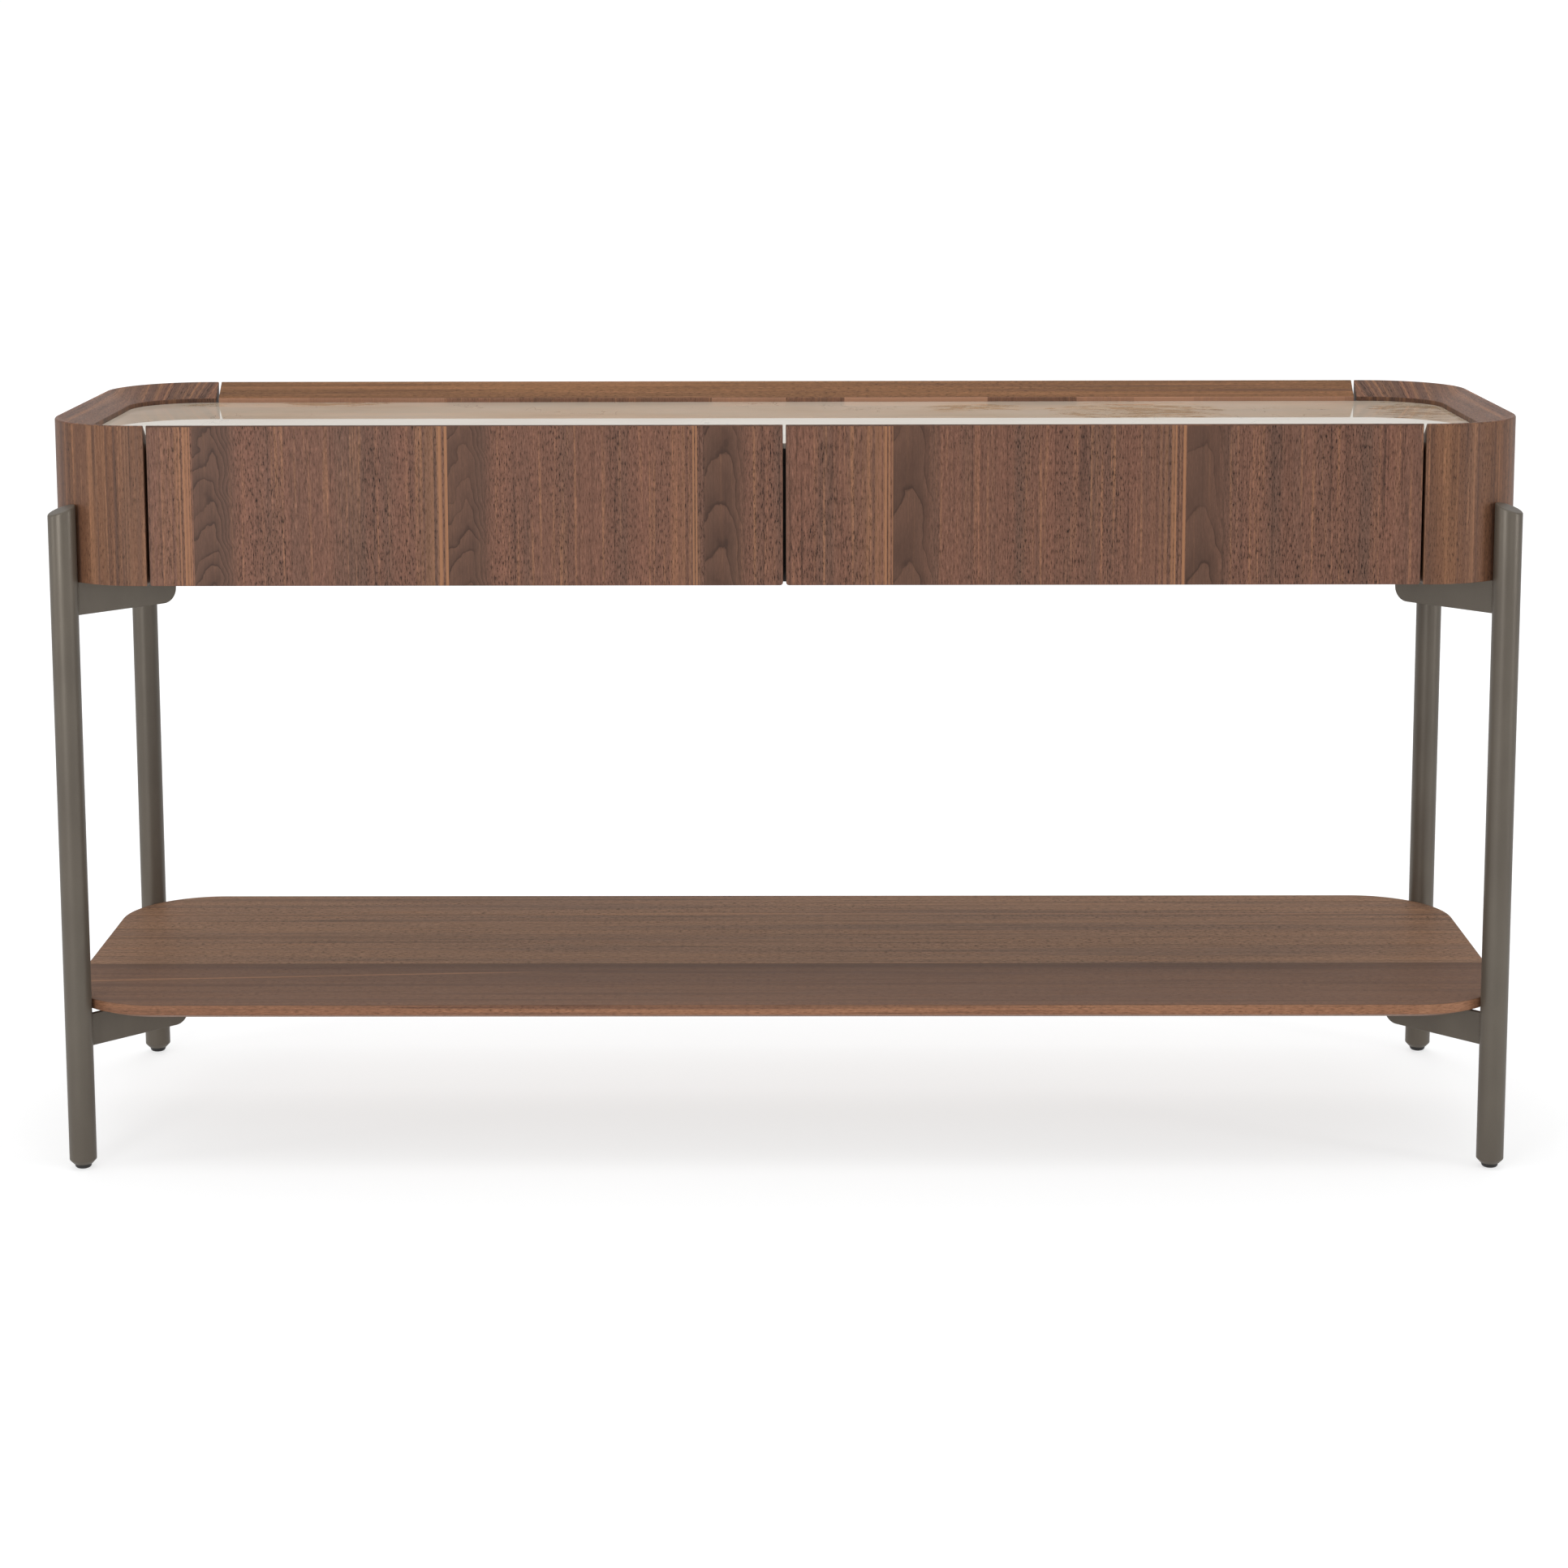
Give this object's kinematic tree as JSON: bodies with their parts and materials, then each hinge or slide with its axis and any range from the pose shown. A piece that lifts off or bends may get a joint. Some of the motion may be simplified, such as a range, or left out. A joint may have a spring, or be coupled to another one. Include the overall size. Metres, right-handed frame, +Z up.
{
  "type": "console table",
  "caption": "Walnut console table with rounded corners, recessed stone top, push-open drawers, slanted round metal legs and a lower shelf.",
  "frame": {"origin": "on the floor under the middle of the table", "axes": "+X to the table's right as seen from the front, -Y to its front, +Z up"},
  "size_m": [1.5, 0.45, 0.778],
  "materials": {
    "walnut": "satin lacquered walnut veneer",
    "shelf_walnut": "satin lacquered walnut veneer with a lighter solid edge",
    "stone": "polished cream stone with brown veins",
    "bronze_paint": "satin bronze-grey powder coat",
    "carcass_board": "matt black melamine board",
    "drawer_board": "matt walnut-foiled board",
    "zinc_steel": "bright zinc plate",
    "grey_plastic": "moulded grey plastic",
    "black_plastic": "moulded black plastic"
  },
  "bodies": {
    "table": {"end_shell_left": "walnut", "end_shell_right": "walnut", "back_rail": "walnut", "stone_top": "stone", "top_panel": "carcass_board", "bottom_panel": "carcass_board", "carcass_side_left": "carcass_board", "carcass_side_right": "carcass_board", "centre_divider": "carcass_board", "shelf": "shelf_walnut", "leg_front_left": "bronze_paint", "leg_front_right": "bronze_paint", "leg_back_left": "bronze_paint", "leg_back_right": "bronze_paint", "leg_end_front_left": "bronze_paint", "leg_end_front_right": "bronze_paint", "leg_end_back_left": "bronze_paint", "leg_end_back_right": "bronze_paint", "upper_bracket_front_left": "bronze_paint", "upper_bracket_front_right": "bronze_paint", "upper_bracket_back_left": "bronze_paint", "upper_bracket_back_right": "bronze_paint", "lower_bracket_front_left": "bronze_paint", "lower_bracket_front_right": "bronze_paint", "lower_bracket_back_left": "bronze_paint", "lower_bracket_back_right": "bronze_paint", "left_inner_runner_cabinet_rail": "zinc_steel", "left_outer_runner_cabinet_rail": "zinc_steel", "left_latch_housing": "grey_plastic", "right_inner_runner_cabinet_rail": "zinc_steel", "right_outer_runner_cabinet_rail": "zinc_steel", "right_latch_housing": "grey_plastic"},
    "left_drawer": {"left_drawer_front": "walnut", "left_drawer_inner_side": "drawer_board", "left_drawer_outer_side": "drawer_board", "left_drawer_back": "drawer_board", "left_drawer_bottom": "drawer_board", "left_inner_runner_drawer_rail": "zinc_steel", "left_outer_runner_drawer_rail": "zinc_steel"},
    "left_middle_rails": {"left_inner_runner_middle_rail": "zinc_steel", "left_outer_runner_middle_rail": "zinc_steel"},
    "left_latch_pin": {"left_latch_pin": "grey_plastic"},
    "right_drawer": {"right_drawer_front": "walnut", "right_drawer_inner_side": "drawer_board", "right_drawer_outer_side": "drawer_board", "right_drawer_back": "drawer_board", "right_drawer_bottom": "drawer_board", "right_inner_runner_drawer_rail": "zinc_steel", "right_outer_runner_drawer_rail": "zinc_steel"},
    "right_middle_rails": {"right_inner_runner_middle_rail": "zinc_steel", "right_outer_runner_middle_rail": "zinc_steel"},
    "right_latch_pin": {"right_latch_pin": "grey_plastic"},
    "glide_front_left": {"levelling_glide_front_left": "black_plastic"},
    "glide_front_right": {"levelling_glide_front_right": "black_plastic"},
    "glide_back_left": {"levelling_glide_back_left": "black_plastic"},
    "glide_back_right": {"levelling_glide_back_right": "black_plastic"}
  },
  "joints": [
    {"name": "left_drawer_slide", "type": "slide", "parent": "table", "child": "left_drawer", "axis": [0, -1, 0], "range_m": [0, 0.3]},
    {"name": "left_middle_rails_slide", "type": "slide", "parent": "table", "child": "left_middle_rails", "axis": [0, -1, 0], "range_m": [0, 0.15]},
    {"name": "left_latch_push", "type": "slide", "parent": "table", "child": "left_latch_pin", "axis": [0, 1, 0], "range_m": [0, 0.006], "stiffness_N_per_m": 400},
    {"name": "right_drawer_slide", "type": "slide", "parent": "table", "child": "right_drawer", "axis": [0, -1, 0], "range_m": [0, 0.3]},
    {"name": "right_middle_rails_slide", "type": "slide", "parent": "table", "child": "right_middle_rails", "axis": [0, -1, 0], "range_m": [0, 0.15]},
    {"name": "right_latch_push", "type": "slide", "parent": "table", "child": "right_latch_pin", "axis": [0, 1, 0], "range_m": [0, 0.006], "stiffness_N_per_m": 400},
    {"name": "glide_front_left_level", "type": "slide", "parent": "table", "child": "glide_front_left", "axis": [0, 0, -1], "range_m": [0, 0.008]},
    {"name": "glide_front_right_level", "type": "slide", "parent": "table", "child": "glide_front_right", "axis": [0, 0, -1], "range_m": [0, 0.008]},
    {"name": "glide_back_left_level", "type": "slide", "parent": "table", "child": "glide_back_left", "axis": [0, 0, -1], "range_m": [0, 0.008]},
    {"name": "glide_back_right_level", "type": "slide", "parent": "table", "child": "glide_back_right", "axis": [0, 0, -1], "range_m": [0, 0.008]}
  ],
  "couplings": [
    {"joint": "left_middle_rails_slide", "follows": "left_drawer_slide", "ratio": 0.5},
    {"joint": "right_middle_rails_slide", "follows": "right_drawer_slide", "ratio": 0.5}
  ]
}
